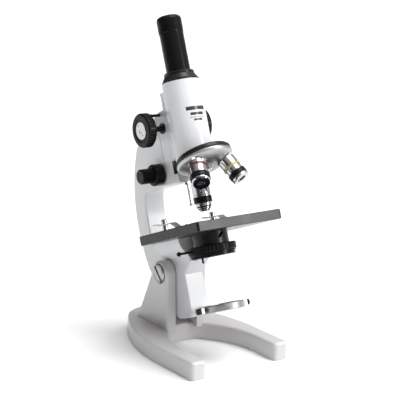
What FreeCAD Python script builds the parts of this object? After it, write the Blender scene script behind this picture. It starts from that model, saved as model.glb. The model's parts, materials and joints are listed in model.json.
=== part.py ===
import FreeCAD, Part
import math
import os
import Sketcher

# A monocular student microscope on a horseshoe foot, millimetres, +Z up, origin on the table under
# the middle of the foot, -Y towards the open end of the horseshoe. The foot is drawn in that frame.
# Everything above the tilting joint is drawn upright in the arm's frame (origin on the joint's axis)
# and placed with the arm's lean.

SIZES = [
    # foot
    ("FootLength", 195.0), ("FootHalfWidth", 63.0), ("FootTipHalf", 62.0), ("FootThick", 19.2),
    ("FootStraight", 67.0), ("FootBackRound", 36.0),
    ("ArchTipHalf", 44.0), ("ArchHalf", 44.5), ("ArchStraight", 37.0), ("ArchDepth", 112.5),
    ("ArchRound", 29.0), ("FootTipRound", 4.5), ("FootEdgeRound", 3.0),
    ("CheekInner", 14.0), ("CheekOuter", 26.5), ("CheekTop", 13.6), ("CheekLean", 28.2),
    ("CheekEdgeRound", 3.0), ("CheekRoot", 4.0),
    # tilting joint
    ("JointBack", 19.5), ("JointHeight", 80.5), ("ArmLean", 19.3),
    ("BoltRadius", 5.0), ("BoltHeadRadius", 10.6), ("BoltHeadThick", 3.2), ("CounterRadius", 11.4),
    ("CounterDepth", 1.6), ("BoltHoleGap", 0.1), ("RunFit", 0.05), ("BushRadius", 8.0),
    ("WasherRadius", 12.0), ("WasherGap", 0.1), ("SlotWide", 3.2), ("SlotDeep", 1.3),
    # arm
    ("ArmHalf", 12.5), ("BowCentreBack", 99.6), ("BowCentreHigh", 54.8), ("BowOuter", 150.5),
    ("BowInner", 126.2), ("HeadFront", 31.0), ("HeadBottom", 92.0), ("HeadTopFront", 170.5),
    ("HeadTopBack", 143.5), ("HeelY", 39.0), ("HeelZ", -4.0),
    ("TailBackY", 3.5), ("TailBackZ", -36.0), ("TailBottom", 53.3), ("TailFront", 28.0),
    ("TailFlareZ", 6.5), ("ArmEdgeRound", 1.6), ("GrooveHalf", 6.0), ("GrooveFlare", 1.6),
    ("GrooveDeep", 5.0), ("SlideGap", 0.15),
    ("BracketHalf", 23.0), ("BracketFront", 46.0), ("BracketBack", 4.0), ("HeelIn", 12.0),
    ("HeelDrop", 14.0), ("TailRound", 8.0), ("HeadRound", 12.0), ("BushWall", 1.5), ("BushInner", 4.0),
    # stage
    ("OpticY", 72.5), ("StageWide", 105.8), ("StageDeep", 118.0), ("StageCentreY", 74.7),
    ("StageTop", 42.4), ("StageThick", 10.2), ("StageCorner", 2.5), ("StageBore", 12.5),
    ("StageUnderBore", 17.2), ("StageUnderDeep", 6.0),
    ("ClipX", 31.3), ("ClipY", 38.0), ("ClipPostRadius", 2.2), ("ClipHeadRadius", 3.3),
    ("ClipPostHigh", 13.2),
    ("ClipLeafHalf", 4.2), ("ClipLeafThick", 0.8),
    # condenser under the stage
    ("SleeveRadius", 19.5), ("SleeveBore", 16.6), ("SleeveBottom", 19.4), ("CondenserRadius", 16.4),
    ("CondenserTipRadius", 10.5), ("CondenserTop", 40.6), ("RingRadius", 26.0), ("RingTop", 19.0),
    ("RingBottom", 11.4), ("RingBore", 17.4), ("FilterRadius", 23.8), ("FilterTop", 9.4),
    ("FilterThick", 2.8), ("FilterPivotX", -22.8), ("HandleReach", 38.0),
    # mirror
    ("MirrorZ", -47.5), ("MirrorRadius", 23.3), ("MirrorThick", 7.6), ("ForkInner", 25.6),
    ("ForkOuter", 29.4), ("ForkHalfThick", 3.0), ("StemRadius", 3.0), ("StemEnd", 10.0),
    # focusing train
    ("BlockHalf", 12.4), ("BlockFront", 47.0), ("BlockTop", 172.0),
    ("CoarseY", 40.3), ("CoarseZ", 152.9), ("CoarseRadius", 18.6), ("CoarseOuter", 40.6),
    ("CoarseInner", 30.8), ("CoarseDisc", 9.6), ("SpindleRadius", 3.0),
    ("FineY", 20.5), ("FineZ", 105.8), ("FineBig", 12.0), ("FineSmall", 8.2), ("FineInner", 14.0),
    ("FineStep", 25.6), ("FineOuter", 40.3), ("FineShaftRadius", 2.5),
    ("PinionTip", 5.2), ("RackTipY", 45.8), ("RailHalf", 7.4),
    # body tube
    ("TubeRadius", 20.6), ("TubeTop", 195.7), ("HousingBack", 47.4), ("HousingFoot", 91.0),
    ("HousingBlockFront", 53.0), ("HousingBlockTop", 190.0), ("TubeBore", 12.0),
    ("DrawRadius", 13.0), ("DrawBore", 11.65), ("CollarTop", 206.6), ("DrawTop", 249.5),
    ("EyeCapRadius", 13.5), ("EyeTop", 268.0), ("EyeBarrelBottom", 222.0),
    # revolving nosepiece, measured along its own axis from the point where it meets the optical axis
    ("ApexZ", 161.2), ("NoseTilt", 18.0), ("PlateNear", 49.6), ("PlateFar", 54.6),
    ("PlateRadius", 30.6), ("DomeRadius", 31.2), ("DomeDeep", 11.4), ("Shoulder", 64.2),
    ("ObjectiveRadius", 10.0), ("LowOpening", 5.0), ("MidOpening", 5.0), ("NoseRadius", 8.6),
    ("LongTip", 105.6), ("ShortTip", 94.0),
    # stop rod under the tube's housing
    ("StopX", 1.0), ("StopY", 50.2), ("StopFoot", 65.0), ("StopRadius", 1.2), ("StopInside", 6.0),
    ("StopFootRadius", 2.6), ("NutAcross", 2.9), ("NutThick", 3.0),
    # screws, clips and condenser details
    ("ScrewX", 16.0), ("ScrewY", 32.0), ("ScrewSpan", 9.0), ("ScrewRadius", 1.9), ("ScrewHead", 3.6),
    ("ScrewSunk", 2.4), ("ClipLeafZ", 7.0), ("ClipTail", 20.0), ("ClipFlat", 16.0),
    ("ClipTouch", 27.0), ("ClipReach", 46.0), ("ClipTurn", 2.0), ("ClipTailRise", 2.4),
    ("FlangeRadius", 25.0),
    ("HandleTurn", -9.0), ("HandleStem", 1.3), ("HandleHead", 2.7), ("FingerLong", 5.5),
    ("FilterOpening", 15.5), ("FilterSeat", 16.5), ("FilterEye", 3.4), ("ForkArm", 3.4),
    ("MirrorPin", 1.5), ("MirrorPinHead", 3.2),
    # slides, rack, knobs and eyepiece details
    ("RailNeck", 6.0), ("RailGap", 0.3), ("RailInner", 4.8), ("RailDeep", 3.6), ("RailFoot", 94.0),
    ("RailTop", 188.0), ("RackHalf", 4.2), ("PinionHalf", 4.4), ("PinionTeeth", 14), ("KnobRibs", 36),
    ("FineRibs", 30), ("RingFlutes", 40), ("WebFoot", 118.0), ("ClampY", 38.0), ("ClampZ", 168.2),
    ("ClampReach", 28.5), ("ClampRadius", 1.6), ("ClampHead", 2.2), ("FineRound", 2.8),
    ("KnobRound", 2.2), ("CapRound", 5.0), ("EyeBore", 10.6),
    # nosepiece details
    ("PortRadius", 7.5), ("PivotRadius", 6.0), ("PivotStem", 3.6), ("DomeBow", 34.0), ("RimBow", 5.0),
    ("DomeFlat", 7.5), ("ScrewCap", 4.6), ("BossRadius", 11.2), ("SeatRadius", 10.3),
    ("TurretBore", 7.4), ("DetentThick", 3.2), ("DetentFront", 55.6), ("DetentBack", 51.0),
    ("DetentLow", 101.0), ("DetentHigh", 115.0), ("DetentStep", 3.0),
]

os.makedirs("parts", exist_ok=True)
doc = FreeCAD.newDocument("Microscope")
sheet = doc.addObject("Spreadsheet::Sheet", "Sizes")
for row, (alias, number) in enumerate(SIZES, start=1):
    cell = "B%d" % row
    sheet.set("A%d" % row, alias)
    sheet.set(cell, str(number))
    sheet.setAlias(cell, alias)
doc.recompute()


class Size:
    """A size with its value and the spreadsheet expression that gives it."""

    def __init__(self, value, text):
        self.value = value
        self.text = text

    def __add__(self, other):
        other = size_of(other)
        return Size(self.value + other.value, "(%s + %s)" % (self.text, other.text))

    def __sub__(self, other):
        other = size_of(other)
        return Size(self.value - other.value, "(%s - %s)" % (self.text, other.text))

    def __mul__(self, other):
        other = size_of(other)
        return Size(self.value * other.value, "(%s * %s)" % (self.text, other.text))

    def __truediv__(self, other):
        other = size_of(other)
        return Size(self.value / other.value, "(%s / %s)" % (self.text, other.text))

    def __radd__(self, other):
        return size_of(other) + self

    def __rsub__(self, other):
        return size_of(other) - self

    def __rmul__(self, other):
        return size_of(other) * self

    def __neg__(self):
        return Size(-self.value, "(0 - %s)" % self.text)


def size_of(item):
    return item if isinstance(item, Size) else Size(float(item), "%.6f" % item)


def sine(angle):
    return Size(math.sin(math.radians(angle.value)), "sin(%s * 1 deg)" % angle.text)


def cosine(angle):
    return Size(math.cos(math.radians(angle.value)), "cos(%s * 1 deg)" % angle.text)


def root(item):
    return Size(math.sqrt(item.value), "sqrt(%s)" % item.text)


class Sheet:
    """The driving sizes by name, such as S.TubeRadius."""

    def __getattr__(self, alias):
        return Size(float(sheet.get(alias)), "Sizes.%s" % alias)


S = Sheet()
X_AXIS = FreeCAD.Vector(1, 0, 0)
Y_AXIS = FreeCAD.Vector(0, 1, 0)
Z_AXIS = FreeCAD.Vector(0, 0, 1)


def place(x=0, y=0, z=0, axis=Z_AXIS, angle=0):
    base = FreeCAD.Vector(size_of(x).value, size_of(y).value, size_of(z).value)
    return FreeCAD.Placement(base, FreeCAD.Rotation(axis, size_of(angle).value))


ARM = place(0, S.JointBack, S.JointHeight, -X_AXIS, S.ArmLean)


def in_arm(x=0, y=0, z=0, axis=Z_AXIS, angle=0):
    """A placement given in the arm's upright frame."""
    return ARM.multiply(place(x, y, z, axis, angle))


# the nosepiece leans forward; its local +Z runs down its axis and local +Y points forward
NOSE = in_arm(0, -S.OpticY, S.ApexZ, X_AXIS, 180 - S.NoseTilt)


def in_nose(turn, along=0):
    """Along an objective's own axis from the apex, local +Z down the objective; turn 0 is in use."""
    lean = place(axis=X_AXIS, angle=S.NoseTilt)
    return NOSE.multiply(place(axis=Z_AXIS, angle=turn)).multiply(lean).multiply(place(z=along))


sub_parts = []


class Piece:
    """One sub-part: a body with its sketches and features."""

    def __init__(self, label, placement):
        self.label = label
        self.count = 0
        self.body = doc.addObject("PartDesign::Body", label)
        self.body.Label = label
        self.body.Placement = placement
        sub_parts.append(self.body)

    def plane(self, role):
        return next(item for item in self.body.Origin.OriginFeatures if item.Role == role)

    def sketch(self, role, offset=0, turn=0):
        self.count += 1
        made = self.body.newObject("Sketcher::SketchObject", "%s_sketch%d" % (self.label, self.count))
        made.AttachmentSupport = [(self.plane(role), "")]
        made.MapMode = "FlatFace"
        shift = size_of(offset)
        made.AttachmentOffset = place(0, 0, shift, Z_AXIS, turn)
        if shift.text != size_of(0).text:
            made.setExpression("AttachmentOffset.Base.z", shift.text)
        return made

    def feature(self, kind, sketch, name):
        self.count += 1
        made = self.body.newObject("PartDesign::" + kind, "%s_%s%d" % (self.label, name, self.count))
        made.Profile = sketch
        sketch.Visibility = False
        return made

    def pad(self, sketch, length, both_sides=False, backwards=False):
        made = self.feature("Pad", sketch, "pad")
        made.setExpression("Length", size_of(length).text)
        made.Midplane = both_sides
        made.Reversed = backwards
        doc.recompute()
        return made

    def pocket(self, sketch, length, both_sides=False, backwards=False):
        before = self.body.Shape.Volume
        made = self.feature("Pocket", sketch, "pocket")
        made.setExpression("Length", size_of(length).text)
        made.Midplane = both_sides
        made.Reversed = backwards
        doc.recompute()
        if self.body.Shape.Volume > before - 1e-3:
            raise RuntimeError("pocket cuts nothing in " + self.label)
        return made

    def revolve(self, sketch):
        made = self.feature("Revolution", sketch, "turn")
        made.ReferenceAxis = (sketch, ["V_Axis"])
        made.Angle = 360.0
        doc.recompute()
        return made

    def around(self, features, count):
        made = self.body.newObject("PartDesign::PolarPattern", self.label + "_pattern")
        made.Originals = features
        made.Axis = (self.plane("Z_Axis"), [""])
        made.Angle = 360.0
        made.Occurrences = int(size_of(count).value)
        self.body.Tip = made
        doc.recompute()
        return made

    def mirrored(self, features, role="YZ_Plane"):
        self.count += 1
        made = self.body.newObject("PartDesign::Mirrored", "%s_mirror%d" % (self.label, self.count))
        made.Originals = features
        made.MirrorPlane = (self.plane(role), [""])
        self.body.Tip = made
        doc.recompute()
        return made

    def round_edges(self, chosen, radius, kind="Fillet"):
        """Rounds the edges for which chosen(edge's middle, edge) is true."""
        self.count += 1
        last = self.body.Tip
        names = []
        for number, edge in enumerate(last.Shape.Edges, start=1):
            middle = edge.valueAt((edge.FirstParameter + edge.LastParameter) / 2)
            if chosen(middle, edge):
                names.append("Edge%d" % number)
        if not names:
            raise RuntimeError("no edge to round in " + self.label)
        made = self.body.newObject("PartDesign::" + kind, "%s_round%d" % (self.label, self.count))
        made.Base = (last, names)
        made.setExpression("Radius" if kind == "Fillet" else "Size", size_of(radius).text)
        doc.recompute()
        return made


def pin_point(sketch, geometry, end, x, y):
    """Ties a sketch point to its expressions, or to an axis where it lies on one."""
    for value, kind, axis in ((size_of(x), "DistanceX", -2), (size_of(y), "DistanceY", -1)):
        if abs(value.value) < 1e-9:
            sketch.addConstraint(Sketcher.Constraint("PointOnObject", geometry, end, axis))
            continue
        number = sketch.addConstraint(Sketcher.Constraint(kind, -1, 1, geometry, end, value.value))
        sketch.setExpression("Constraints[%d]" % number, value.text)


def outline(sketch, corners):
    """A closed outline. A corner is (x, y) or (x, y, bow): bow is the radius of the arc that leads on
    to the next corner, positive where the arc bulges to the right of the way it goes."""
    items = [(size_of(c[0]), size_of(c[1]), size_of(c[2]) if len(c) > 2 else None) for c in corners]
    drawn = []
    for this, after in zip(items, items[1:] + items[:1]):
        start = FreeCAD.Vector(this[0].value, this[1].value, 0)
        end = FreeCAD.Vector(after[0].value, after[1].value, 0)
        if this[2] is None:
            number = sketch.addGeometry(Part.LineSegment(start, end), False)
            drawn.append((number, 1, 2))
            continue
        radius = this[2].value
        chord = end - start
        side = FreeCAD.Vector(-chord.y, chord.x, 0) / chord.Length
        rise = math.sqrt(max(radius ** 2 - (chord.Length / 2) ** 2, 0))
        sign = 1 if radius > 0 else -1
        centre = (start + end) * 0.5 + side * rise * sign
        first, second = (start, end) if radius > 0 else (end, start)
        angles = [math.atan2(p.y - centre.y, p.x - centre.x) for p in (first, second)]
        circle = Part.Circle(centre, Z_AXIS, abs(radius))
        number = sketch.addGeometry(Part.ArcOfCircle(circle, angles[0], angles[1]), False)
        drawn.append((number, 1, 2) if radius > 0 else (number, 2, 1))
        limit = sketch.addConstraint(Sketcher.Constraint("Radius", number, abs(radius)))
        text = this[2].text if radius > 0 else "(0 - %s)" % this[2].text
        sketch.setExpression("Constraints[%d]" % limit, text)
    for (number, start, _), (before, _, end), item in zip(drawn, drawn[-1:] + drawn[:-1], items):
        sketch.addConstraint(Sketcher.Constraint("Coincident", before, end, number, start))
        pin_point(sketch, number, start, item[0], item[1])
    return sketch


def circle(sketch, x, y, radius):
    radius = size_of(radius)
    centre = FreeCAD.Vector(size_of(x).value, size_of(y).value, 0)
    number = sketch.addGeometry(Part.Circle(centre, Z_AXIS, radius.value), False)
    pin_point(sketch, number, 3, x, y)
    limit = sketch.addConstraint(Sketcher.Constraint("Radius", number, radius.value))
    sketch.setExpression("Constraints[%d]" % limit, radius.text)
    return sketch


def box_corners(x0, x1, y0, y1):
    return [(x0, y0), (x1, y0), (x1, y1), (x0, y1)]


def turned(label, placement, profile):
    """A turned piece about its local Z: profile is a list of (radius, height)."""
    piece = Piece(label, placement)
    piece.revolve(outline(piece.sketch("XZ_Plane"), profile))
    return piece


def ring_profile(inner, outer, low, high):
    return [(inner, low), (outer, low), (outer, high), (inner, high)]


def group(label, pieces):
    """Alike pieces that make one sub-part, as separate solids."""
    made = doc.addObject("Part::Compound", label)
    made.Label = label
    made.Links = [piece.body for piece in pieces]
    for piece in pieces:
        sub_parts.remove(piece.body)
    sub_parts.append(made)


SIDES = (("near", -90), ("far", 90))


def pair(label, each, y, z, profile):
    """A turned piece on each side of the arm, about an axis along X through (y, z)."""
    group(label, [turned("%s_%s" % (each, name), in_arm(0, y, z, Y_AXIS, angle), profile)
                  for name, angle in SIDES])


# ---------------------------------------------------------------- foot and tilting joint

def foot_casting():
    piece = Piece("foot_casting", place())
    half = S.FootLength / 2
    back_centre = half - S.FootBackRound
    straight_end = -half + S.FootStraight
    reach = back_centre - straight_end
    side_bow = ((S.FootHalfWidth * S.FootHalfWidth + reach * reach - S.FootBackRound * S.FootBackRound)
                / (2 * (S.FootHalfWidth - S.FootBackRound)))
    span = side_bow - S.FootBackRound
    meet_x = S.FootBackRound * (side_bow - S.FootHalfWidth) / span
    meet_y = back_centre + S.FootBackRound * reach / span
    arch_back = -half + S.ArchDepth - S.ArchRound
    arch_start = -half + S.ArchStraight
    arch_reach = arch_back - arch_start
    arch_bow = ((S.ArchHalf * S.ArchHalf + arch_reach * arch_reach - S.ArchRound * S.ArchRound)
                / (2 * (S.ArchHalf - S.ArchRound)))
    arch_span = arch_bow - S.ArchRound
    arch_x = S.ArchRound * (arch_bow - S.ArchHalf) / arch_span
    arch_y = arch_back + S.ArchRound * arch_reach / arch_span
    plan = [(S.FootTipHalf, -half), (S.FootHalfWidth, straight_end, side_bow),
            (meet_x, meet_y, S.FootBackRound), (0, half, S.FootBackRound),
            (-meet_x, meet_y, side_bow), (-S.FootHalfWidth, straight_end), (-S.FootTipHalf, -half),
            (-S.ArchTipHalf, -half), (-S.ArchHalf, arch_start, -arch_bow),
            (-arch_x, arch_y, -S.ArchRound), (0, arch_back + S.ArchRound, -S.ArchRound),
            (arch_x, arch_y, -arch_bow), (S.ArchHalf, arch_start), (S.ArchTipHalf, -half)]
    piece.pad(outline(piece.sketch("XY_Plane"), plan), S.FootThick)

    thick = S.FootThick.value
    tip = -half.value
    piece.round_edges(lambda m, e: abs(m.y - tip) < 0.01 and e.BoundBox.ZLength > 1, S.FootTipRound)
    piece.round_edges(lambda m, e: abs(m.z - thick) < 0.01 and e.BoundBox.ZLength < 0.01,
                      S.FootEdgeRound)

    front = S.JointBack - S.CheekTop
    slope_y = S.JointBack + S.CheekTop * cosine(S.CheekLean)
    slope_z = S.JointHeight + S.CheekTop * sine(S.CheekLean)
    root = S.FootThick - S.CheekRoot
    root_y = slope_y + (slope_z - root) * sine(S.CheekLean) / cosine(S.CheekLean)
    side = [(front, root), (root_y, root), (slope_y, slope_z, S.CheekTop),
            (S.JointBack, S.JointHeight + S.CheekTop, S.CheekTop), (front, S.JointHeight)]
    cheek = piece.pad(outline(piece.sketch("YZ_Plane", S.CheekInner), side),
                      S.CheekOuter - S.CheekInner)
    piece.mirrored([cheek])
    outer = S.CheekOuter.value
    piece.round_edges(lambda m, e: abs(abs(m.x) - outer) < 0.01 and m.z > thick + 1,
                      S.CheekEdgeRound)

    bore = circle(piece.sketch("YZ_Plane"), S.JointBack, S.JointHeight, S.BoltRadius + S.BoltHoleGap)
    piece.pocket(bore, 3 * S.CheekOuter, both_sides=True)
    for direction, backwards in ((1, False), (-1, True)):
        seat = circle(piece.sketch("YZ_Plane", direction * S.CheekOuter), S.JointBack, S.JointHeight,
                      S.CounterRadius)
        piece.pocket(seat, S.CounterDepth, backwards=backwards)


def joint_hardware():
    seat = S.CheekOuter - S.CounterDepth
    head_top = seat + S.BoltHeadThick
    to_near = place(0, S.JointBack, S.JointHeight, -Y_AXIS, 90)
    groove = 0.45
    profile = [(0, -head_top + 0.4), (S.BoltRadius - 0.6, -head_top + 0.4),
               (S.BoltRadius, -head_top + 1), (S.BoltRadius, seat),
               (S.BoltHeadRadius, seat), (S.BoltHeadRadius, head_top - 0.9),
               (S.BoltHeadRadius - 0.9, head_top), (S.BoltHeadRadius - 1.8, head_top),
               (S.BoltHeadRadius - 2.2, head_top - groove), (S.BoltHeadRadius - 2.6, head_top),
               (0, head_top)]
    bolt = turned("joint_bolt", to_near, profile)
    slot = bolt.sketch("XY_Plane", head_top, 42)
    outline(slot, box_corners(-1.2 * S.BoltHeadRadius, 1.2 * S.BoltHeadRadius,
                              -S.SlotWide / 2, S.SlotWide / 2))
    bolt.pocket(slot, S.SlotDeep)

    to_far = place(0, S.JointBack, S.JointHeight, Y_AXIS, 90)
    nut = turned("joint_nut", to_far,
                 [(S.BoltRadius, seat), (S.BoltHeadRadius, seat), (S.BoltHeadRadius, head_top - 0.9),
                  (S.BoltHeadRadius - 0.9, head_top), (S.BoltRadius + 0.5, head_top),
                  (S.BoltRadius, head_top - 0.5)])
    holes = nut.sketch("XY_Plane", head_top)
    for side in (-1, 1):
        circle(holes, side * (S.BoltHeadRadius + S.BoltRadius) / 2, 0, 1.1)
    nut.pocket(holes, 1.8)

    washer = ring_profile(S.BoltRadius + S.BoltHoleGap, S.WasherRadius,
                          S.ArmHalf + S.WasherGap, S.CheekInner)
    group("joint_washers", [turned("joint_washer_near", to_near, washer),
                            turned("joint_washer_far", to_far, washer)])


# ---------------------------------------------------------------- arm and stage

def bow_point(radius, z):
    """Where a circle of the arm's bow has the height z."""
    up = size_of(z) - S.BowCentreHigh
    return root(radius * radius - up * up) - S.BowCentreBack


def arm_casting():
    piece = Piece("arm_casting", ARM)
    shelf = S.StageTop - S.StageThick
    side = [(-S.HeadFront, S.HeadBottom), (bow_point(S.BowInner, S.HeadBottom), S.HeadBottom, -S.BowInner),
            (bow_point(S.BowInner, shelf), shelf), (-S.BracketFront, shelf),
            (-S.BracketFront, S.TailFlareZ), (-S.TailFront, -S.TailFlareZ),
            (-S.TailFront, -S.TailBottom), (S.TailBackY, -S.TailBottom), (S.TailBackY, S.TailBackZ),
            (S.HeelY - S.HeelIn, S.HeelZ - S.HeelDrop),
            (bow_point(S.BowOuter, S.HeelZ), S.HeelZ, S.BowOuter),
            (bow_point(S.BowOuter, S.HeadTopBack), S.HeadTopBack), (-S.HeadFront, S.HeadTopFront)]
    piece.pad(outline(piece.sketch("YZ_Plane"), side), 2 * S.ArmHalf, both_sides=True)

    def corner_at(y, z):
        y = size_of(y).value
        z = size_of(z).value
        return lambda m, e: abs(m.x) < 0.01 and math.hypot(m.y - y, m.z - z) < 0.5

    piece.round_edges(corner_at(S.TailBackY, -S.TailBottom), S.TailRound)
    piece.round_edges(corner_at(-S.TailFront, -S.TailBottom), S.TailRound / 3)
    piece.round_edges(corner_at(bow_point(S.BowInner, S.HeadBottom), S.HeadBottom), S.TailRound)
    piece.round_edges(corner_at(bow_point(S.BowOuter, S.HeadTopBack), S.HeadTopBack), S.HeadRound)
    piece.round_edges(corner_at(S.TailBackY, S.TailBackZ), S.HeadRound)
    piece.round_edges(corner_at(bow_point(S.BowOuter, S.HeelZ), S.HeelZ), S.HeadRound)
    piece.round_edges(lambda m, e: abs(abs(m.x) - S.ArmHalf.value) < 0.01, S.ArmEdgeRound)

    bowl = [(-S.BracketHalf, shelf, S.BracketHalf), (0, shelf - S.BracketHalf, S.BracketHalf),
            (S.BracketHalf, shelf)]
    piece.pad(outline(piece.sketch("XZ_Plane", S.BracketFront), bowl),
              S.BracketFront + S.BracketBack, backwards=True)

    groove = piece.sketch("XY_Plane", S.HeadTopFront + 5)
    half = S.GrooveHalf + S.SlideGap
    outline(groove, [(-half, -S.HeadFront - 1), (half, -S.HeadFront - 1), (half, -S.HeadFront),
                     (half + S.GrooveFlare, -S.HeadFront + S.GrooveDeep),
                     (-half - S.GrooveFlare, -S.HeadFront + S.GrooveDeep), (-half, -S.HeadFront)])
    piece.pocket(groove, S.HeadTopFront - S.HeadBottom + 10)

    piece.pocket(circle(piece.sketch("YZ_Plane"), 0, 0, S.BushRadius), 4 * S.ArmHalf, both_sides=True)
    shaft = circle(piece.sketch("YZ_Plane"), -S.FineY, S.FineZ, S.FineShaftRadius + S.BushWall)
    piece.pocket(shaft, 4 * S.ArmHalf, both_sides=True)
    stem = circle(piece.sketch("XZ_Plane", S.TailFront + 5), 0, S.MirrorZ, S.StemRadius + S.RunFit)
    piece.pocket(stem, S.TailFront + 6 - S.StemEnd)


def arm_bushes():
    turned("joint_bush", in_arm(axis=Y_AXIS, angle=90),
           ring_profile(S.BoltRadius + S.RunFit, S.BushRadius, -S.ArmHalf, S.ArmHalf))
    bore = S.FineShaftRadius + S.RunFit
    wall = S.FineShaftRadius + S.BushWall
    flange = [(bore, S.BushInner), (wall, S.BushInner), (wall, S.ArmHalf), (wall + 1.5, S.ArmHalf),
              (wall + 1.5, S.FineInner - 0.5), (bore, S.FineInner - 0.5)]
    pair("fine_bushes", "fine_bush", -S.FineY, S.FineZ, flange)


SCREW_CORNERS = ((-1, -1), (1, -1), (-1, 1), (1, 1))


def stage_plate():
    piece = Piece("stage_plate", in_arm(0, -S.OpticY, S.StageTop))
    middle = S.OpticY - S.StageCentreY
    half_x = S.StageWide / 2
    half_y = S.StageDeep / 2
    plan = outline(piece.sketch("XY_Plane"),
                   box_corners(-half_x, half_x, middle - half_y, middle + half_y))
    piece.pad(plan, S.StageThick, backwards=True)
    mid_depth = S.StageThick.value / 2
    piece.round_edges(lambda m, e: abs(m.z + mid_depth) < 0.01 and e.BoundBox.ZLength > 1, S.StageCorner)
    piece.round_edges(lambda m, e: e.BoundBox.ZLength < 0.01, 0.6, "Chamfer")
    piece.pocket(circle(piece.sketch("XY_Plane"), 0, 0, S.StageBore), S.StageThick)
    piece.pocket(circle(piece.sketch("XY_Plane", -S.StageThick), 0, 0, S.StageUnderBore),
                 S.StageUnderDeep, backwards=True)
    clips = piece.sketch("XY_Plane")
    for side in (-1, 1):
        circle(clips, side * S.ClipX, S.OpticY - S.ClipY, S.ClipPostRadius + S.RunFit)
    piece.pocket(clips, S.StageThick)
    for radius, depth in ((S.ScrewRadius, S.StageThick), (S.ScrewHead, S.ScrewSunk)):
        holes = piece.sketch("XY_Plane")
        for x, y in SCREW_CORNERS:
            circle(holes, x * S.ScrewX, S.OpticY - S.ScrewY + y * S.ScrewSpan, radius)
        piece.pocket(holes, depth)


def stage_fittings():
    shelf = S.StageTop - S.StageThick
    screws = []
    for number, (x, y) in enumerate(SCREW_CORNERS):
        where = in_arm(x * S.ScrewX, -S.ScrewY + y * S.ScrewSpan, S.StageTop)
        screw = turned("stage_screw%d" % (number + 1), where,
                       [(0, -S.StageThick), (S.ScrewRadius, -S.StageThick),
                        (S.ScrewRadius, -S.ScrewSunk), (S.ScrewHead, -S.ScrewSunk),
                        (S.ScrewHead, -0.5), (S.ScrewHead - 0.35, -0.15), (0, -0.15)])
        slot = screw.sketch("XY_Plane", 0, 30 * number)
        outline(slot, box_corners(-1.2 * S.ScrewHead, 1.2 * S.ScrewHead, -0.35, 0.35))
        screw.pocket(slot, 0.9)
        screws.append(screw)
    group("stage_screws", screws)

    sleeve = turned("condenser_sleeve", in_arm(0, -S.OpticY),
                    ring_profile(S.SleeveBore, S.SleeveRadius, S.SleeveBottom, shelf))
    window = sleeve.sketch("XZ_Plane", 0)
    outline(window, [(-4, S.SleeveBottom + 6), (-1, S.SleeveBottom + 5), (5, shelf - 3.2),
                     (4, shelf - 1.2), (1, shelf - 2.2)])
    sleeve.pocket(window, 2 * S.SleeveRadius, backwards=True)


def stage_clips():
    """Each clip is a sprung leaf on a post; both turn together in the stage."""
    for name, side in (("near", -1), ("far", 1)):
        where = in_arm(side * S.ClipX, -S.ClipY, S.StageTop)
        turned("clip_post_" + name, where,
               [(0, -S.StageThick + 1), (S.ClipPostRadius, -S.StageThick + 1),
                (S.ClipPostRadius, 0.2), (S.ClipHeadRadius, 0.2), (S.ClipHeadRadius, S.ClipLeafZ),
                (S.ClipPostRadius, S.ClipLeafZ), (S.ClipPostRadius, S.ClipLeafZ + S.ClipLeafThick),
                (S.ClipHeadRadius, S.ClipLeafZ + S.ClipLeafThick), (S.ClipHeadRadius, S.ClipPostHigh - 1.0),
                (S.ClipHeadRadius - 0.9, S.ClipPostHigh), (0, S.ClipPostHigh)])
        leaf = Piece("clip_leaf_" + name, where)
        z = S.ClipLeafZ
        thick = S.ClipLeafThick
        tail = z + S.ClipTailRise
        rise = [(S.ClipTail, tail), (S.ClipTail, tail + thick), (5, z + thick),
                (-S.ClipFlat, z + thick), (-S.ClipTouch, 0.25 + thick), (-S.ClipReach + 4, 0.25 + thick),
                (-S.ClipReach, 1.6 + thick), (-S.ClipReach, 1.6), (-S.ClipReach + 4, 0.25),
                (-S.ClipTouch, 0.25), (-S.ClipFlat, z), (5, z)]
        leaf.body.Placement = where.multiply(place(axis=Z_AXIS, angle=-side * S.ClipTurn))
        leaf.pad(outline(leaf.sketch("YZ_Plane"), rise), 2 * S.ClipLeafHalf, both_sides=True)
        hole = circle(leaf.sketch("XY_Plane", S.ClipPostHigh), 0, 0, S.ClipPostRadius)
        leaf.pocket(hole, S.ClipPostHigh - 1)
        half = S.ClipLeafHalf.value
        leaf.round_edges(lambda m, e: abs(abs(m.x) - half) < 0.01 and e.BoundBox.YLength < 0.01, 2.0)


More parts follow.
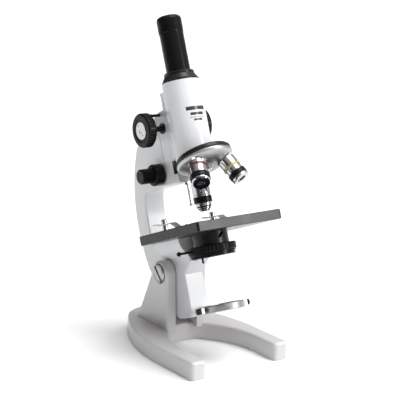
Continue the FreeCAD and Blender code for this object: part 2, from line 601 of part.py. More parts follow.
def condenser():
    at_axis = in_arm(0, -S.OpticY)
    turned("condenser_barrel", at_axis,
           [(S.CondenserTipRadius - 2.5, S.FilterTop + 0.3), (S.FlangeRadius, S.FilterTop + 0.3),
            (S.FlangeRadius, S.RingBottom - 0.3), (S.CondenserRadius, S.RingBottom - 0.3),
            (S.CondenserRadius, S.CondenserTop - 9), (S.CondenserTipRadius, S.CondenserTop - 6),
            (S.CondenserTipRadius, S.CondenserTop), (S.CondenserTipRadius - 2.5, S.CondenserTop)])
    turned("condenser_lens", at_axis,
           [(0, S.CondenserTop - 5), (S.CondenserTipRadius - 2.5, S.CondenserTop - 5),
            (S.CondenserTipRadius - 2.5, S.CondenserTop - 1.2), (0, S.CondenserTop - 0.4)])
    ring = turned("condenser_ring", at_axis,
                  [(S.RingBore, S.RingBottom), (S.RingRadius - 0.8, S.RingBottom),
                   (S.RingRadius, S.RingBottom + 0.8), (S.RingRadius, S.RingTop - 0.8),
                   (S.RingRadius - 0.8, S.RingTop), (S.RingBore, S.RingTop)])
    flute = circle(ring.sketch("XY_Plane", S.RingTop + 1), S.RingRadius + 0.5, 0, 1.0)
    cut = ring.pocket(flute, S.RingTop - S.RingBottom + 2)
    ring.around([cut], S.RingFlutes)
    reach = in_arm(0, -S.OpticY, (S.RingTop + S.RingBottom) / 2).multiply(
        place(axis=Z_AXIS, angle=S.HandleTurn)).multiply(place(axis=Y_AXIS, angle=-90))
    stem = S.HandleStem
    head = S.HandleHead
    turned("ring_handle", reach,
           [(0, S.RingRadius), (stem, S.RingRadius), (stem, S.HandleReach - 2.4, -2.73),
            (head, S.HandleReach), (head, S.HandleReach + 0.4), (stem, S.HandleReach + 3),
            (0, S.HandleReach + 3)])

    low = S.FilterTop - S.FilterThick
    holder = Piece("filter_holder", at_axis)
    rim = circle(holder.sketch("XY_Plane", low), 0, 0, S.FilterRadius)
    circle(rim, 0, 0, S.FilterOpening)
    holder.pad(rim, S.FilterThick)
    eye = circle(holder.sketch("XY_Plane", low), S.FilterPivotX, 0, S.FilterEye)
    holder.pad(eye, S.FilterThick)
    seat = circle(holder.sketch("XY_Plane", S.FilterTop), 0, 0, S.FilterSeat)
    holder.pocket(seat, S.FilterThick - 0.8)
    holder.pocket(circle(holder.sketch("XY_Plane", S.FilterTop), S.FilterPivotX, 0, 1.25),
                  S.FilterThick + 1)
    finger = circle(holder.sketch("XY_Plane", low), -18.5, -6.5, 1.1)
    holder.pad(finger, S.FingerLong, backwards=True)
    turned("filter_glass", at_axis,
           [(0, low + 0.9), (S.FilterSeat - 0.1, low + 0.9), (S.FilterSeat - 0.1, S.FilterTop - 0.4),
            (0, S.FilterTop - 0.4)])
    turned("filter_pivot", in_arm(S.FilterPivotX, -S.OpticY),
           [(0, low - 1.3), (2.0, low - 1.3), (2.0, low - 0.3), (1.2, low - 0.3), (1.2, S.FilterTop + 0.3),
            (0, S.FilterTop + 0.3)])


# ---------------------------------------------------------------- mirror

def mirror():
    at_mirror = in_arm(0, -S.OpticY, S.MirrorZ)
    fork = Piece("mirror_fork", at_mirror)
    hoop = fork.sketch("XY_Plane", -S.ForkHalfThick)
    inner = S.ForkInner
    outer = S.ForkOuter
    arm = S.ForkArm
    outline(hoop, [(outer, -arm), (outer, 0, outer), (0, outer, outer), (-outer, 0), (-outer, -arm),
                   (-inner, -arm), (-inner, 0, -inner), (0, inner, -inner), (inner, 0), (inner, -arm)])
    fork.pad(hoop, 2 * S.ForkHalfThick)
    stem = circle(fork.sketch("XZ_Plane", -outer + 2), 0, 0, S.StemRadius)
    fork.pad(stem, S.OpticY - S.StemEnd - outer + 2, backwards=True)
    pivots = circle(fork.sketch("YZ_Plane"), 0, 0, S.MirrorPin + S.RunFit)
    fork.pocket(pivots, 3 * outer, both_sides=True)

    turned("mirror_cell", at_mirror,
           [(S.MirrorRadius - 2, -0.8), (S.MirrorRadius - 2, -S.MirrorThick / 2 + 1.6),
            (S.MirrorRadius - 2.6, -S.MirrorThick / 2), (S.MirrorRadius - 0.8, -S.MirrorThick / 2),
            (S.MirrorRadius, -S.MirrorThick / 2 + 0.8), (S.MirrorRadius, S.MirrorThick / 2 - 0.8),
            (S.MirrorRadius - 0.8, S.MirrorThick / 2), (S.MirrorRadius - 2.6, S.MirrorThick / 2),
            (S.MirrorRadius - 2, S.MirrorThick / 2 - 1.6), (S.MirrorRadius - 2, 0.8)][::-1])
    turned("mirror_glass", at_mirror,
           [(0, -2.1), (S.MirrorRadius - 2, -S.MirrorThick / 2 + 1.6),
            (S.MirrorRadius - 2, S.MirrorThick / 2 - 1.6), (0, S.MirrorThick / 2 - 1.6)])
    pins = []
    for name, angle in SIDES:
        where = at_mirror.multiply(place(axis=Y_AXIS, angle=angle))
        pins.append(turned("mirror_pin_" + name, where,
                           [(0, S.MirrorRadius + 0.15), (S.MirrorPin, S.MirrorRadius + 0.15),
                            (S.MirrorPin, outer + 0.3), (S.MirrorPinHead, outer + 0.3),
                            (S.MirrorPinHead, outer + 3.4), (S.MirrorPinHead - 0.5, outer + 3.9),
                            (0, outer + 3.9)]))
    group("mirror_pins", pins)


# ---------------------------------------------------------------- focusing train

def fine_focus():
    block = Piece("fine_block", ARM)
    back = -S.HeadFront - S.SlideGap
    side = [(-S.BlockFront, S.HeadBottom), (back, S.HeadBottom), (back, S.HeadTopFront),
            (-S.BlockFront, S.BlockTop)]
    block.pad(outline(block.sketch("YZ_Plane"), side), 2 * S.BlockHalf, both_sides=True)
    depth = -S.HeadFront + S.GrooveDeep - S.SlideGap
    flare = S.GrooveFlare * (S.GrooveDeep - S.SlideGap) / S.GrooveDeep
    tongue = [(-S.GrooveHalf, back), (S.GrooveHalf, back), (S.GrooveHalf + flare, depth),
              (-S.GrooveHalf - flare, depth)]
    block.pad(outline(block.sketch("XY_Plane", S.HeadBottom + 3), tongue),
              S.HeadTopFront - S.HeadBottom - 8)
    wide = S.RailHalf + S.RailGap
    narrow = S.RailNeck + S.RailGap
    floor = -S.BlockFront + S.RailDeep
    slot = [(-narrow, -S.BlockFront - 1), (narrow, -S.BlockFront - 1), (narrow, -S.BlockFront),
            (wide, floor), (-wide, floor), (-narrow, -S.BlockFront)]
    block.pocket(outline(block.sketch("XY_Plane", S.BlockTop + 1), slot),
                 S.BlockTop - S.HeadBottom + 2)
    room = circle(block.sketch("YZ_Plane"), -S.CoarseY, S.CoarseZ, S.PinionTip + 0.5)
    block.pocket(room, 2 * S.PinionHalf + 1, both_sides=True)
    bearing = circle(block.sketch("YZ_Plane"), -S.CoarseY, S.CoarseZ, S.SpindleRadius + S.BushWall)
    block.pocket(bearing, 4 * S.BlockHalf, both_sides=True)

    bore = S.SpindleRadius + S.RunFit
    wall = S.SpindleRadius + S.BushWall
    inner = S.RailHalf + 0.8
    collar = [(bore, inner), (wall, inner), (wall, S.BlockHalf),
              (wall + 1.2, S.BlockHalf), (wall + 1.2, S.BlockHalf + 1.6), (bore, S.BlockHalf + 1.6)]
    pair("spindle_bushes", "spindle_bush", -S.CoarseY, S.CoarseZ, collar)
    turned("clamp_screw", in_arm(0, -S.ClampY, S.ClampZ, Y_AXIS, -90),
           [(0, S.BlockHalf), (S.ClampRadius, S.BlockHalf), (S.ClampRadius, S.ClampReach - 6.5),
            (S.ClampHead, S.ClampReach - 6), (S.ClampHead, S.ClampReach - 0.6),
            (S.ClampRadius, S.ClampReach), (0, S.ClampReach)])

    turned("fine_shaft", in_arm(0, -S.FineY, S.FineZ, Y_AXIS, 90),
           [(0, -S.FineOuter + 3), (S.FineShaftRadius, -S.FineOuter + 3),
            (S.FineShaftRadius, S.FineOuter - 3), (0, S.FineOuter - 3)])
    for name, angle in SIDES:
        knob = turned("fine_knob_" + name, in_arm(0, -S.FineY, S.FineZ, Y_AXIS, angle),
                      [(S.FineShaftRadius, S.FineInner), (S.FineBig - 0.8, S.FineInner),
                       (S.FineBig, S.FineInner + 0.8), (S.FineBig, S.FineStep - 2.8, S.FineRound),
                       (S.FineBig - 2.8, S.FineStep), (S.FineSmall, S.FineStep),
                       (S.FineSmall, S.FineOuter - 1), (S.FineSmall - 1, S.FineOuter),
                       (0, S.FineOuter), (0, S.FineOuter - 3), (S.FineShaftRadius, S.FineOuter - 3)])
        rib = circle(knob.sketch("XY_Plane", S.FineOuter + 1), S.FineSmall + 0.35, 0, 0.7)
        cut = knob.pocket(rib, S.FineOuter - S.FineStep + 0.5)
        knob.around([cut], S.FineRibs)


def coarse_focus():
    spindle = turned("coarse_spindle", in_arm(0, -S.CoarseY, S.CoarseZ, Y_AXIS, 90),
                     [(0, -S.CoarseOuter + 2.5), (S.SpindleRadius, -S.CoarseOuter + 2.5),
                      (S.SpindleRadius, -S.PinionHalf), (S.PinionTip, -S.PinionHalf),
                      (S.PinionTip, S.PinionHalf), (S.SpindleRadius, S.PinionHalf),
                      (S.SpindleRadius, S.CoarseOuter - 2.5), (0, S.CoarseOuter - 2.5)])
    gap = spindle.sketch("XY_Plane", S.PinionHalf + 0.5)
    outline(gap, [(S.PinionTip - 1.5, -0.35), (S.PinionTip + 1, -0.75), (S.PinionTip + 1, 0.75),
                  (S.PinionTip - 1.5, 0.35)])
    cut = spindle.pocket(gap, 2 * S.PinionHalf + 1)
    spindle.around([cut], S.PinionTeeth)
    rim = S.CoarseRadius
    discs = []
    for name, angle in SIDES:
        about = in_arm(0, -S.CoarseY, S.CoarseZ, Y_AXIS, angle)
        knob = turned("coarse_knob_" + name, about,
                      [(S.SpindleRadius, S.CoarseInner - 5), (6.0, S.CoarseInner - 5),
                       (6.6, S.CoarseInner - 4.4), (6.6, S.CoarseInner), (rim - 1.2, S.CoarseInner),
                       (rim, S.CoarseInner + 1.2), (rim, S.CoarseOuter - 2.2, S.KnobRound),
                       (rim - 2.2, S.CoarseOuter), (S.CoarseDisc + 3.4, S.CoarseOuter),
                       (S.CoarseDisc + 2.4, S.CoarseOuter - 0.7), (S.CoarseDisc, S.CoarseOuter - 0.7),
                       (S.CoarseDisc, S.CoarseOuter - 1.8), (S.SpindleRadius, S.CoarseOuter - 1.8)])
        rib = circle(knob.sketch("XY_Plane", S.CoarseOuter + 1), rim + 0.55, 0, 1.1)
        cut = knob.pocket(rib, S.CoarseOuter - S.CoarseInner + 2)
        knob.around([cut], S.KnobRibs)
        disc = turned("coarse_disc_" + name, about,
                      [(0, S.CoarseOuter - 1.8), (S.CoarseDisc, S.CoarseOuter - 1.8),
                       (S.CoarseDisc, S.CoarseOuter - 0.4), (S.CoarseDisc - 0.4, S.CoarseOuter),
                       (3.0, S.CoarseOuter), (2.4, S.CoarseOuter - 0.5), (0, S.CoarseOuter - 0.5)])
        holes = disc.sketch("XY_Plane", S.CoarseOuter, 25)
        for side in (-1, 1):
            circle(holes, side * (S.CoarseDisc - 3.2), 0, 0.9)
        disc.pocket(holes, 1.2)
        discs.append(disc)
    group("coarse_discs", discs)


# ---------------------------------------------------------------- body tube

def tube_housing():
    piece = Piece("tube_housing", ARM)
    piece.pad(circle(piece.sketch("XY_Plane", S.HousingFoot), 0, -S.OpticY, S.TubeRadius),
              S.TubeTop - S.HousingFoot)
    plate_y = -S.OpticY - S.PlateNear * sine(S.NoseTilt)
    plate_z = S.ApexZ - S.PlateNear * cosine(S.NoseTilt)
    slope = sine(S.NoseTilt) / cosine(S.NoseTilt)
    front = -S.OpticY - S.TubeRadius - 5
    back = -S.OpticY + S.TubeRadius + 5
    wedge = [(front, S.HousingFoot - 5), (back, S.HousingFoot - 5),
             (back, plate_z - (back - plate_y) * slope), (front, plate_z - (front - plate_y) * slope)]
    piece.pocket(outline(piece.sketch("YZ_Plane"), wedge), 3 * S.TubeRadius, both_sides=True)
    spine = box_corners(-S.BlockHalf, S.BlockHalf, -S.HousingBlockFront, -S.HousingBack)
    piece.pad(outline(piece.sketch("XY_Plane", S.HousingFoot), spine),
              S.HousingBlockTop - S.HousingFoot)
    web = box_corners(-S.BlockHalf, S.BlockHalf, -S.OpticY, -S.HousingBlockFront)
    piece.pad(outline(piece.sketch("XY_Plane", S.WebFoot), web), S.HousingBlockTop - S.WebFoot)
    tail = -S.HousingBack + S.RailDeep
    for side in (-1, 1):
        rail = [(side * S.RailInner, -S.HousingBack), (side * S.RailNeck, -S.HousingBack),
                (side * S.RailHalf, tail), (side * S.RailInner, tail)]
        piece.pad(outline(piece.sketch("XY_Plane", S.RailFoot), rail[::side]), S.RailTop - S.RailFoot)
    piece.pocket(circle(piece.sketch("XY_Plane", S.TubeTop), 0, -S.OpticY, S.TubeBore),
                 S.TubeTop - S.HousingFoot)
    rod_hole = circle(piece.sketch("XY_Plane", S.HousingFoot), -S.StopX, -S.StopY,
                      S.StopRadius + S.RunFit)
    piece.pocket(rod_hole, S.StopInside + 1, backwards=True)

    rack = Piece("coarse_rack", ARM)
    strip = box_corners(-S.RackHalf, S.RackHalf, -S.HousingBack, -S.RackTipY)
    rack.pad(outline(rack.sketch("XY_Plane", S.RailFoot + 2), strip), S.RailTop - S.RailFoot - 4)
    low = S.RailFoot + 4
    gap = [(-S.RackTipY - 1.0, low), (-S.RackTipY + 0.5, low - 0.5), (-S.RackTipY + 0.5, low + 1.8),
           (-S.RackTipY - 1.0, low + 1.3)]
    tooth = rack.pocket(outline(rack.sketch("YZ_Plane"), gap), 4 * S.RackHalf, both_sides=True)
    teeth = rack.body.newObject("PartDesign::LinearPattern", "rack_teeth")
    teeth.Originals = [tooth]
    teeth.Direction = (rack.plane("Z_Axis"), [""])
    teeth.Length = 84
    teeth.Occurrences = 36
    rack.body.Tip = teeth
    doc.recompute()


def tube_fittings():
    at_axis = in_arm(0, -S.OpticY)
    turned("tube_collar", at_axis,
           [(S.DrawRadius, S.TubeTop), (S.TubeRadius - 0.4, S.TubeTop),
            (S.TubeRadius - 0.4, S.TubeTop + 1.6), (S.TubeRadius - 1.2, S.TubeTop + 2.6),
            (S.DrawRadius + 3.4, S.CollarTop - 3.6), (S.DrawRadius + 3.4, S.CollarTop - 1),
            (S.DrawRadius + 2.4, S.CollarTop), (S.DrawRadius, S.CollarTop)])
    turned("draw_tube", at_axis,
           [(S.DrawBore, S.TubeTop - 12), (S.TubeBore, S.TubeTop - 12), (S.TubeBore, S.TubeTop),
            (S.DrawRadius, S.TubeTop), (S.DrawRadius, S.DrawTop - 0.5), (S.DrawRadius - 0.5, S.DrawTop),
            (S.DrawBore, S.DrawTop)])
    seat = S.DrawTop + 0.3
    turned("eyepiece_barrel", at_axis,
           ring_profile(S.EyeBore, S.DrawBore - S.RunFit, S.EyeBarrelBottom, seat))
    cap = S.EyeCapRadius
    turned("eyepiece_cap", at_axis,
           [(S.EyeBore, seat), (cap, seat), (cap, seat + 2.4), (cap - 0.35, seat + 2.7), (cap, seat + 3),
            (cap, seat + 4.6), (cap - 0.35, seat + 4.9), (cap, seat + 5.2), (cap, S.EyeTop - 5, S.CapRound),
            (cap - 4.5, S.EyeTop), (6.4, S.EyeTop), (5.4, S.EyeTop - 2.4), (S.EyeBore - 4, S.EyeTop - 2.4),
            (S.EyeBore - 4, S.EyeTop - 6), (S.EyeBore, S.EyeTop - 6)])
    turned("eye_lens", at_axis,
           [(0, S.EyeTop - 6), (S.EyeBore - 4, S.EyeTop - 6), (S.EyeBore - 4, S.EyeTop - 2.9),
            (0, S.EyeTop - 2.6)])
    plate = turned("nosepiece_plate", NOSE,
                   [(0, S.PlateNear), (S.PlateRadius - 1.5, S.PlateNear),
                    (S.PlateRadius, S.PlateNear + 1.5), (S.PlateRadius, S.PlateFar - 0.6),
                    (S.PlateRadius - 0.6, S.PlateFar), (0, S.PlateFar)])
    port = S.PlateFar * sine(S.NoseTilt) / cosine(S.NoseTilt)
    plate.pocket(circle(plate.sketch("XY_Plane", S.PlateFar), 0, -port, S.PortRadius),
                 S.PlateFar - S.PlateNear + 1)
    plate.pocket(circle(plate.sketch("XY_Plane", S.PlateFar), 0, 0, S.PivotRadius),
                 S.PlateFar - S.PlateNear + 1)
    turned("nosepiece_pivot", NOSE,
           [(0, S.PlateNear + 0.4), (S.PivotRadius, S.PlateNear + 0.4), (S.PivotRadius, S.PlateFar),
            (S.PivotStem, S.PlateFar), (S.PivotStem, S.PlateFar + S.DomeDeep - 1),
            (0, S.PlateFar + S.DomeDeep - 1)])
    detent = Piece("detent_block", ARM)
    block = [(-S.DetentFront, S.DetentLow + S.DetentStep), (-S.DetentFront + S.DetentStep, S.DetentLow),
             (-S.DetentBack, S.DetentLow), (-S.DetentBack, S.DetentHigh), (-S.DetentFront, S.DetentHigh)]
    detent.pad(outline(detent.sketch("YZ_Plane", -S.BlockHalf), block), S.DetentThick, backwards=True)


def stop_screw():
    """A thin rod screwed up into the tube's housing behind the nosepiece, with its lock nut."""
    top = S.HousingFoot + S.StopInside
    turned("stop_rod", in_arm(-S.StopX, -S.StopY),
           [(0, S.StopFoot), (S.StopFootRadius, S.StopFoot), (S.StopFootRadius, S.StopFoot + 0.9),
            (S.StopRadius, S.StopFoot + 1.8), (S.StopRadius, top), (0, top)])
    nut = Piece("stop_nut", in_arm(-S.StopX, -S.StopY, S.HousingFoot))
    hexagon = nut.sketch("XY_Plane")
    turns = [size_of(60 * k) for k in range(6)]
    outline(hexagon, [(S.NutAcross * cosine(turn), S.NutAcross * sine(turn)) for turn in turns])
    nut.pad(hexagon, S.NutThick, backwards=True)
    bore = circle(nut.sketch("XY_Plane", -S.NutThick - 0.5), 0, 0, S.StopRadius + S.RunFit)
    nut.pocket(bore, S.NutThick + 1, backwards=True)


# ---------------------------------------------------------------- nosepiece and objectives

def turret():
    piece = Piece("turret_shell", NOSE)
    low = S.PlateFar + 0.3
    rim = S.DomeRadius
    bore = S.PivotStem + S.RunFit
    deep = low + S.DomeDeep
    dome = [(bore, low), (rim - 1.0, low), (rim - 0.2, low + 0.9, S.RimBow),
            (rim - 1.4, low + 4.4, S.DomeBow), (S.DomeFlat, deep), (bore, deep)]
    piece.revolve(outline(piece.sketch("XZ_Plane"), dome))
    for kind, name, radius, start, end in (
            ("Additive", "boss", S.BossRadius, S.PlateFar + 6.8, S.Shoulder),
            ("Subtractive", "seat", S.SeatRadius, S.Shoulder, S.Shoulder + 6),
            ("Subtractive", "bore", S.TurretBore, S.PlateFar - 5, S.Shoulder + 5)):
        made = piece.body.newObject("PartDesign::%sCylinder" % kind, "turret_" + name)
        made.AttachmentSupport = [(piece.plane("XY_Plane"), "")]
        made.MapMode = "FlatFace"
        lean = place(axis=X_AXIS, angle=S.NoseTilt)
        made.AttachmentOffset = lean.multiply(place(z=start))
        made.setExpression("Radius", radius.text)
        made.setExpression("Height", (end - start).text)
        doc.recompute()
        piece.around([made], 3)
    turned("turret_screw", NOSE,
           [(0, deep - 0.8), (bore - 0.3, deep - 0.8), (bore - 0.3, deep), (S.ScrewCap, deep),
            (S.ScrewCap, deep + 1.2), (S.ScrewCap - 1, deep + 2.0), (0, deep + 2.0)])


def objective(name, turn, barrel, bands):
    """barrel is a profile from the shoulder; bands are (label, inner, outer, low, high)."""
    where = in_nose(turn, S.Shoulder)
    turned("objective_%s_barrel" % name, where, barrel)
    for label, inner, outer, low, high in bands:
        turned("objective_%s_%s" % (name, label), where,
               [(inner, low), (outer - 0.3, low), (outer, low + 0.3), (outer, high - 0.3),
                (outer - 0.3, high), (inner, high)])


def objectives():
    full = S.ObjectiveRadius
    short = S.ShortTip - S.Shoulder
    opening = S.LowOpening
    objective("low", 240,
              [(opening, 0), (full, 0), (full, 7.4), (full - 0.8, 7.6), (full - 0.8, short - 4.6),
               (full - 0.2, short - 4.3), (full - 0.2, short - 3.4), (full - 1.0, short - 2.0),
               (opening, short - 2.0)],
              [("colour_band", full - 0.8, full - 0.1, size_of(8.0), size_of(9.4)),
               ("collar", full - 0.8, full + 0.4, short - 11.2, short - 5.2),
               ("face", opening, full - 1.1, short - 2.0, short)])
    opening = S.MidOpening
    objective("mid", 120,
              [(opening, 0), (full - 1, 0), (full - 1, 3.0), (full - 0.3, 3.4), (full - 0.3, 12.0),
               (full - 1, 12.4), (full - 1, short - 3.2), (full - 0.2, short - 3.0),
               (full - 0.2, short - 0.8), (full - 0.9, short), (opening, short)],
              [("colour_band", full - 1, full - 0.1, size_of(13.0), size_of(15.2)),
               ("sleeve", full - 1, full + 0.1, size_of(20.6), short - 3.4)])
    group("objective_lenses", [
        turned("objective_low_lens", in_nose(240, S.Shoulder),
               [(0, short - 4.6), (S.LowOpening, short - 4.6), (S.LowOpening, short - 2.6),
                (0, short - 2.1)]),
        turned("objective_mid_lens", in_nose(120, S.Shoulder),
               [(0, short - 3.2), (S.MidOpening, short - 3.2), (S.MidOpening, short - 1.4),
                (0, short - 0.9)])])
    tip = S.LongTip - S.Shoulder
    bore = S.NoseRadius + S.RunFit
    objective("high", 0,
              [(bore, 4), (bore, 0), (full - 0.4, 0), (full - 0.4, tip - 17.4), (full - 0.8, tip - 17),
               (full - 0.8, tip - 8.6), (full - 1, tip - 8.0), (bore, tip - 8.0)][::-1],
              [("sleeve", full - 0.8, full - 0.1, tip - 15.6, tip - 8.7)])
    turned("objective_high_nose", in_nose(0, S.Shoulder),
           [(2.2, tip - 16), (S.NoseRadius, tip - 16), (S.NoseRadius, tip - 5.2), (7.4, tip - 3.8),
            (7.4, tip - 3.0), (5.8, tip - 1.8), (5.8, tip - 1.1), (4.3, tip), (2.2, tip)])


foot_casting()
joint_hardware()
arm_casting()
arm_bushes()
stage_plate()
stage_fittings()
stage_clips()
condenser()
mirror()
fine_focus()
coarse_focus()
tube_housing()
tube_fittings()
stop_screw()
turret()
objectives()
doc.recompute()

for item in doc.Objects:
    if "Invalid" in item.State or "Error" in item.State:
        raise RuntimeError("failed: " + item.Name)
for part in sub_parts:
    if part.Shape.isNull() or not part.Shape.isValid() or not part.Shape.Solids:
        raise RuntimeError("bad shape: " + part.Label)
for part in sub_parts:
    part.Shape.exportStep("parts/%s.step" % part.Label)
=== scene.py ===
"""Looks of the student microscope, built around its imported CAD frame.

The CAD nodes keep their shapes and get procedural materials here. The only pieces added are the
plain printed bars on the body tube and the knurled ring on each of the three objectives.
"""
import json
import math

import bmesh
import bpy
from mathutils import Matrix, Vector


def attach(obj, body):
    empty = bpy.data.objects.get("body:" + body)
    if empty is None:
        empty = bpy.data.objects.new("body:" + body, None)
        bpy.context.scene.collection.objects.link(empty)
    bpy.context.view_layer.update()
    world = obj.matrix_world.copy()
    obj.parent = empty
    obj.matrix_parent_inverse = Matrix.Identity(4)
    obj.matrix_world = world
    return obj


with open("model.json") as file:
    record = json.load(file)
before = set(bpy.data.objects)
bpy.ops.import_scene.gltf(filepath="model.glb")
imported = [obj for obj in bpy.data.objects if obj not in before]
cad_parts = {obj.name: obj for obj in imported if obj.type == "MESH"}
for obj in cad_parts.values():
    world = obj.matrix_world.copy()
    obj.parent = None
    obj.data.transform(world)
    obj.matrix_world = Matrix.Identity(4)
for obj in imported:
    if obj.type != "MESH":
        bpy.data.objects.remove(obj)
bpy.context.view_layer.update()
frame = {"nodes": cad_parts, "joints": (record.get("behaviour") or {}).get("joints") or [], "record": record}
JOINTS = {joint["name"]: joint for joint in frame["joints"]}
MM = 0.001


# ---------------------------------------------------------------- materials
# Noise scales count features to the metre, because every object's coordinates are in metres.

NOISE_RANGE = (0.3, 0.7)        # nearly all of a noise texture's values lie between these
MIX_FACTOR, MIX_A, MIX_B, MIX_RESULT = 0, 6, 7, 2      # a Mix node's sockets for colours
FINE_BUMP = 0.01 * MM
COARSE_BUMP = 0.02 * MM
METALLIC = 1.0


def scaled(colour, factor):
    return tuple(factor * channel for channel in colour)


class Shader:
    """A node material under construction: one principled shader with its procedural inputs."""

    def __init__(self, name, colour, rough, metallic=0.0, **fixed):
        self.made = bpy.data.materials.new(name)
        self.made.use_nodes = True
        self.tree = self.made.node_tree
        self.bsdf = self.tree.nodes["Principled BSDF"]
        self.colour = colour
        self.bsdf.inputs["Base Color"].default_value = (*colour, 1)
        self.bsdf.inputs["Roughness"].default_value = rough
        self.bsdf.inputs["Metallic"].default_value = metallic
        for socket, value in fixed.items():
            self.bsdf.inputs[socket.replace("_", " ")].default_value = value
        self.place = self.node("ShaderNodeTexCoord").outputs["Object"]

    def node(self, kind, **values):
        """A new node. Each value sets the node's property of that name, or else its input."""
        made = self.tree.nodes.new(kind)
        for key, value in values.items():
            if hasattr(made, key):
                setattr(made, key, value)
            else:
                made.inputs[key.replace("_", " ")].default_value = value
        return made

    def link(self, source, target):
        self.tree.links.new(source, target)

    def noise(self, scale, detail):
        made = self.node("ShaderNodeTexNoise", Scale=scale, Detail=detail)
        self.link(self.place, made.inputs["Vector"])
        return made.outputs["Fac"]

    def span(self, value, low, high):
        """A noise value spread out to run from low to high."""
        made = self.node("ShaderNodeMapRange", From_Min=NOISE_RANGE[0], From_Max=NOISE_RANGE[1],
                         To_Min=low, To_Max=high)
        self.link(value, made.inputs["Value"])
        return made.outputs["Result"]

    def vary_colour(self, value, other):
        """The colour drifts towards other where value is high."""
        made = self.node("ShaderNodeMix", data_type="RGBA")
        self.link(self.span(value, 0.0, 1.0), made.inputs[MIX_FACTOR])
        made.inputs[MIX_A].default_value = (*self.colour, 1)
        made.inputs[MIX_B].default_value = (*other, 1)
        self.link(made.outputs[MIX_RESULT], self.bsdf.inputs["Base Color"])

    def vary_rough(self, value, low, high):
        self.link(self.span(value, low, high), self.bsdf.inputs["Roughness"])

    def bump(self, value, distance):
        made = self.node("ShaderNodeBump", Strength=1.0, Distance=distance)
        self.link(value, made.inputs["Height"])
        self.link(made.outputs["Normal"], self.bsdf.inputs["Normal"])


def enamel(name, colour):
    """Stoved white paint on a casting: slightly uneven, with a soft clear gloss."""
    s = Shader(name, colour, 0.32, Coat_Weight=0.3, Coat_Roughness=0.15)
    s.vary_colour(s.noise(scale=9, detail=2), scaled(colour, 0.95))
    s.vary_rough(s.noise(scale=30, detail=2), 0.30, 0.36)
    s.bump(s.noise(scale=900, detail=2), COARSE_BUMP)
    return s.made


def black(name, colour, rough, grain, depth, gloss=0.13):
    """A black finish, of which grain is the scale and depth the height of its texture."""
    s = Shader(name, colour, rough, Specular_IOR_Level=gloss)
    s.vary_colour(s.noise(scale=40, detail=3), scaled(colour, 1.25))
    s.vary_rough(s.noise(scale=60, detail=2), rough - 0.02, rough + 0.03)
    s.bump(s.noise(scale=grain, detail=2), depth)
    return s.made


def metal(name, colour, rough, wear):
    """Bare or plated metal, which handling has made rougher in places by up to wear."""
    s = Shader(name, colour, rough, METALLIC)
    s.vary_colour(s.noise(scale=60, detail=3), scaled(colour, 0.9))
    s.vary_rough(s.noise(scale=240, detail=5), max(rough - 0.06, 0.02), rough + wear)
    s.bump(s.noise(scale=1500, detail=2), FINE_BUMP)
    return s.made


def glass(name, colour, rough, alpha):
    s = Shader(name, colour, rough, Alpha=alpha, IOR=1.5, Coat_Weight=1.0, Coat_Roughness=0.03)
    s.vary_colour(s.noise(scale=30, detail=2), scaled(colour, 0.85))
    s.vary_rough(s.noise(scale=200, detail=3), max(rough - 0.02, 0.0), rough + 0.04)
    return s.made


def paint(name, colour):
    """A thin printed or painted mark."""
    s = Shader(name, colour, 0.3, Coat_Weight=0.3)
    s.vary_colour(s.noise(scale=120, detail=3), scaled(colour, 0.8))
    s.vary_rough(s.noise(scale=300, detail=3), 0.25, 0.42)
    s.bump(s.noise(scale=1200, detail=2), FINE_BUMP)
    return s.made


# A material slot, or a printed mark's own finish: the function that makes it and its values.
FINISHES = {
    "white_enamel": (enamel, (0.60, 0.585, 0.59)),
    "white_casting": (enamel, (0.72, 0.73, 0.74)),
    "bare_steel": (metal, (0.40, 0.40, 0.39), 0.24, 0.14),
    "black_steel": (black, (0.012, 0.012, 0.013), 0.30, 1500, FINE_BUMP),
    "brass": (metal, (0.72, 0.55, 0.26), 0.25, 0.15),
    "black_casting": (black, (0.008, 0.008, 0.009), 0.27, 700, COARSE_BUMP, 0.32),
    "black_anodised": (black, (0.006, 0.006, 0.007), 0.24, 1800, FINE_BUMP),
    "black_plastic": (black, (0.006, 0.006, 0.007), 0.22, 1100, COARSE_BUMP),
    "chrome": (metal, (0.55, 0.55, 0.56), 0.11, 0.06),
    "satin_silver": (metal, (0.50, 0.50, 0.49), 0.36, 0.12),
    "lens_glass": (glass, (0.10, 0.14, 0.22), 0.03, 0.55),
    "ground_glass": (glass, (0.30, 0.45, 0.62), 0.35, 0.8),
    "mirror_glass": (metal, (0.9, 0.91, 0.92), 0.03, 0.02),
    "red_band": (paint, (0.17, 0.012, 0.012)),
    "yellow_band": (paint, (0.42, 0.36, 0.08)),
    "print_black": (paint, (0.03, 0.03, 0.035)),
}
MATERIALS = {name: make(name, *values) for name, (make, *values) in FINISHES.items()}


def dress(piece, slot):
    piece.data.materials.clear()
    piece.data.materials.append(MATERIALS[slot])


for part in frame["record"]["subparts"]:
    dress(frame["nodes"][part["node"]], part["material_slot"])


# ---------------------------------------------------------------- printed marks and knurled rings
# Sizes here are in millimetres. Heights run along the tube's axis, or down an objective's.

TUBE_REACH = 72.5               # from the arm's tilt joint forward to the tube's axis
PRINT_INNER = 20.55
PRINT_OUTER = 20.63
PRINT_STEPS = 24
PRINTED_BARS = (                # name, half its angle round the tube in degrees, low, high
    ("print_top", 33, 161.5, 165.5),
    ("print_middle", 22, 156.0, 159.0),
    ("print_line", 26, 153.6, 154.1),
    ("print_low", 14, 150.0, 152.2),
)
KNURL_INNER = 8.6
KNURL_DEPTH = 0.3
KNURL_TEETH = 60
KNURLS = (                      # objective, degrees round from the one in use, low, high, radius
    ("low", 240, 65.0, 67.6, 10.35),
    ("mid", 120, 64.8, 67.0, 9.7),
    ("high", 0, 65.0, 67.4, 9.95),
)

